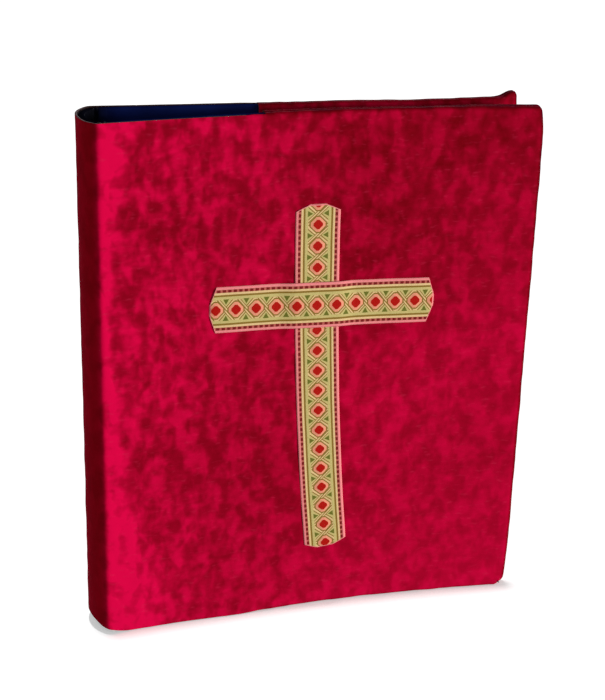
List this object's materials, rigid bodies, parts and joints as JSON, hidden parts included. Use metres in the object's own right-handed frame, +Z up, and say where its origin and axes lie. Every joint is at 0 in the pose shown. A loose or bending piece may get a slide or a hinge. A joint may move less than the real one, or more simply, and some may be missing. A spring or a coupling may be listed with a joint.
{
  "type": "prayer book",
  "caption": "Loose-leaf prayer book: hard ring binder in a velvet slipcover with a woven braid cross on the front, sheets held on hinged rings.",
  "frame": {"origin": "centre of the bottom edge of the closed book, where it stands", "axes": "+X from the spine to the fore edge, -Y out of the front cover, +Z up the spine"},
  "size_m": [0.2699, 0.0368, 0.32],
  "materials": {
    "velvet": "crushed pile",
    "film": "grained",
    "board": "matt",
    "lining": "satin",
    "braid": "metallic thread",
    "nickel_steel": "nickel plated",
    "paper": "uncoated"
  },
  "bodies": {
    "spine": {"spine_velvet": "velvet", "spine_film": "film", "spine_board": "board", "spine_lining": "lining", "ring_cover_plate": "nickel_steel", "lower_rivet": "nickel_steel", "upper_rivet": "nickel_steel", "lower_lever_pin": "nickel_steel", "upper_lever_pin": "nickel_steel"},
    "front_cover": {"front_velvet_pouch": "velvet", "front_film": "film", "front_board": "board", "front_lining": "lining", "braid_vertical": "braid", "braid_horizontal": "braid"},
    "back_cover": {"back_velvet_pouch": "velvet", "back_film": "film", "back_board": "board", "back_lining": "lining"},
    "front_rings": {"front_rail": "nickel_steel", "front_ring_half_1": "nickel_steel", "front_ring_half_2": "nickel_steel", "front_ring_half_3": "nickel_steel", "front_ring_half_4": "nickel_steel"},
    "back_rings": {"back_rail": "nickel_steel", "back_ring_half_1": "nickel_steel", "back_ring_half_2": "nickel_steel", "back_ring_half_3": "nickel_steel", "back_ring_half_4": "nickel_steel"},
    "lower_lever": {"lower_lever": "nickel_steel"},
    "upper_lever": {"upper_lever": "nickel_steel"},
    "title_leaf": {"title_leaf": "paper"},
    "front_pages": {"front_pages": "paper"},
    "back_pages": {"back_pages": "paper"},
    "end_leaf": {"end_leaf": "paper"}
  },
  "joints": [
    {"name": "front_cover_hinge", "type": "hinge", "parent": "spine", "child": "front_cover", "pos_m": [-0.12394, -0.0185, 0], "axis": [0, 0, -1], "range_deg": [0, 105]},
    {"name": "back_cover_hinge", "type": "hinge", "parent": "spine", "child": "back_cover", "pos_m": [-0.12394, 0.0185, 0], "axis": [0, 0, 1], "range_deg": [0, 105]},
    {"name": "title_leaf_turn", "type": "hinge", "parent": "spine", "child": "title_leaf", "pos_m": [-0.1176, 0, 0], "axis": [0, 0, -1], "range_deg": [0, 86.5]},
    {"name": "front_pages_turn", "type": "hinge", "parent": "spine", "child": "front_pages", "pos_m": [-0.1176, 0, 0], "axis": [0, 0, -1], "range_deg": [0, 83]},
    {"name": "back_pages_turn", "type": "hinge", "parent": "spine", "child": "back_pages", "pos_m": [-0.1176, 0, 0], "axis": [0, 0, 1], "range_deg": [0, 81]},
    {"name": "end_leaf_turn", "type": "hinge", "parent": "spine", "child": "end_leaf", "pos_m": [-0.1176, 0, 0], "axis": [0, 0, 1], "range_deg": [0, 84.5]},
    {"name": "front_rings_open", "type": "hinge", "parent": "spine", "child": "front_rings", "pos_m": [-0.12715, -0.0062, 0.16], "axis": [0, 0, -1], "range_deg": [0, 9]},
    {"name": "back_rings_open", "type": "hinge", "parent": "spine", "child": "back_rings", "pos_m": [-0.12715, 0.0062, 0.16], "axis": [0, 0, 1], "range_deg": [0, 9]},
    {"name": "lower_lever_press", "type": "hinge", "parent": "spine", "child": "lower_lever", "pos_m": [-0.1269, 0, 0.024], "axis": [0, 1, 0], "range_deg": [0, 13.5]},
    {"name": "upper_lever_press", "type": "hinge", "parent": "spine", "child": "upper_lever", "pos_m": [-0.1269, 0, 0.296], "axis": [0, -1, 0], "range_deg": [0, 13.5]}
  ],
  "couplings": [
    {"joint": "title_leaf_turn", "follows": "front_cover_hinge", "ratio": 0.82},
    {"joint": "front_pages_turn", "follows": "front_cover_hinge", "ratio": 0.79},
    {"joint": "back_pages_turn", "follows": "back_cover_hinge", "ratio": 0.77},
    {"joint": "end_leaf_turn", "follows": "back_cover_hinge", "ratio": 0.8},
    {"joint": "back_rings_open", "follows": "front_rings_open", "ratio": 1},
    {"joint": "lower_lever_press", "follows": "front_rings_open", "ratio": 1.5},
    {"joint": "upper_lever_press", "follows": "front_rings_open", "ratio": 1.5}
  ]
}
